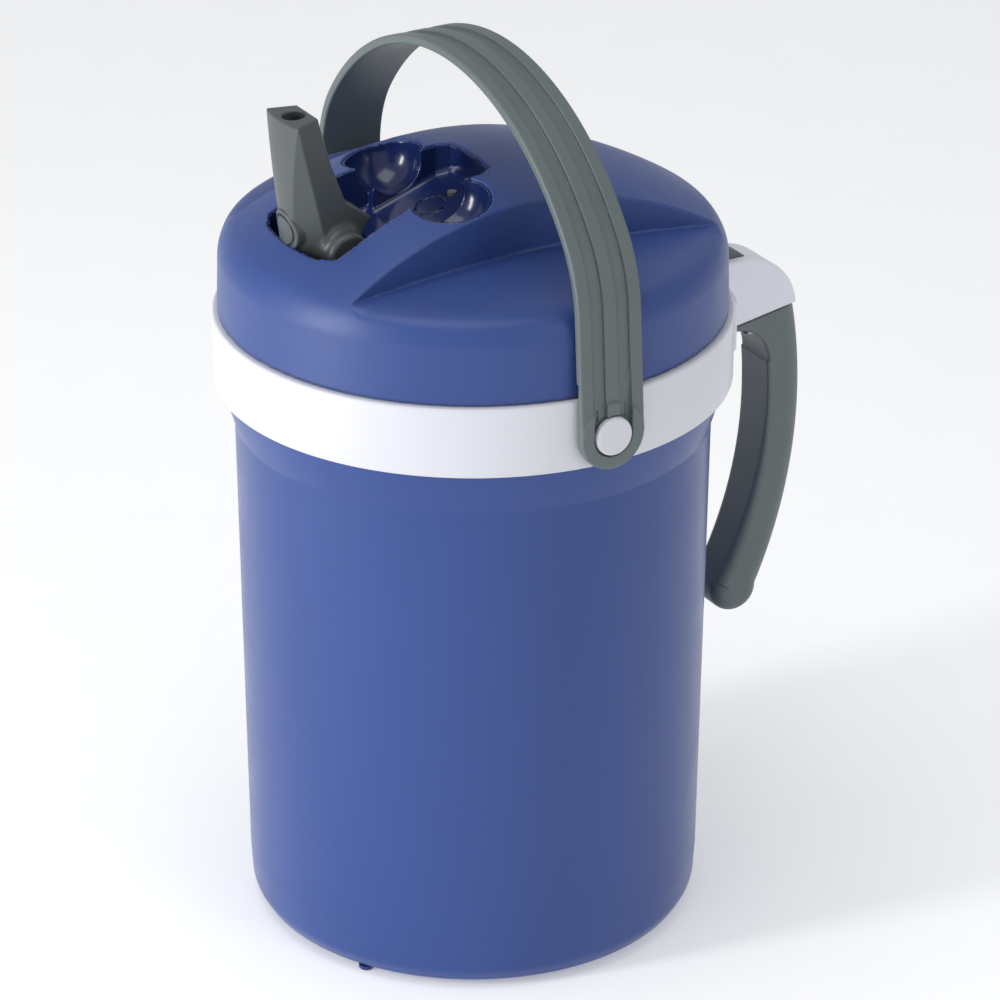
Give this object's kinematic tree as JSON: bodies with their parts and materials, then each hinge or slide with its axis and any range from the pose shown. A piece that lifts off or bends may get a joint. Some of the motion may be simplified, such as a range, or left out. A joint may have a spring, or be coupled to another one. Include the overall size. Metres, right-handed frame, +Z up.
{
  "type": "insulated water jug",
  "caption": "Large insulated water jug with a screw lid, a flip-up drinking spout in a lid recess, an arched carrying bail and a curved side handle.",
  "frame": {"origin": "centre of the base, on the plane the feet stand on", "axes": "+Z up along the jug's axis, -Y towards the drinking spout, +Y towards the side handle; the bail turns about an axis along X"},
  "size_m": [0.2238, 0.2633, 0.3805],
  "materials": {
    "blue_shell": "satin",
    "navy_plastic": "matte",
    "navy_gloss": "gloss",
    "white_plastic": "satin",
    "liner_plastic": "gloss",
    "grey_plastic": "satin",
    "spout_plastic": "satin",
    "silicone": "matte",
    "foam": "matte",
    "screw_steel": "satin"
  },
  "bodies": {
    "jug": {"outer_shell": "blue_shell", "base_plate": "navy_plastic", "feet": "navy_plastic", "foam_base": "foam", "foam_jacket": "foam", "inner_liner": "liner_plastic", "collar_ring": "white_plastic", "handle_bracket": "white_plastic", "handle_screws": "screw_steel", "side_grip": "grey_plastic", "grip_screws": "screw_steel", "thumb_rest": "grey_plastic", "pivot_buttons": "white_plastic", "pivot_clips": "screw_steel"},
    "bail": {"bail_strap": "grey_plastic"},
    "gasket": {"lid_gasket": "silicone"},
    "lid": {"lid_shell": "blue_shell", "spout_tray": "navy_gloss", "lid_foam": "foam", "lid_liner": "liner_plastic", "spout_seal": "silicone", "flow_tube": "liner_plastic", "vent_tube": "liner_plastic", "vent_plug": "silicone", "spout_pins": "screw_steel"},
    "spout": {"spout": "spout_plastic"}
  },
  "joints": [
    {"name": "bail_swing", "type": "hinge", "parent": "jug", "child": "bail", "pos_m": [0, 0, 0.2529], "axis": [-1, 0, 0], "range_deg": [-8, 70]},
    {"name": "lid_rise", "type": "slide", "parent": "jug", "child": "gasket", "axis": [0, 0, 1], "range_m": [0, 0.003]},
    {"name": "lid_turn", "type": "hinge", "parent": "gasket", "child": "lid", "pos_m": [0, 0, 0.265], "axis": [0, 0, 1], "range_deg": [0, 45]},
    {"name": "spout_flip", "type": "hinge", "parent": "lid", "child": "spout", "pos_m": [0, -0.066, 0.309], "axis": [-1, 0, 0], "range_deg": [0, 87]}
  ],
  "couplings": [
    {"joint": "lid_rise", "follows": "lid_turn", "m_per_rad": 0.0038197}
  ]
}
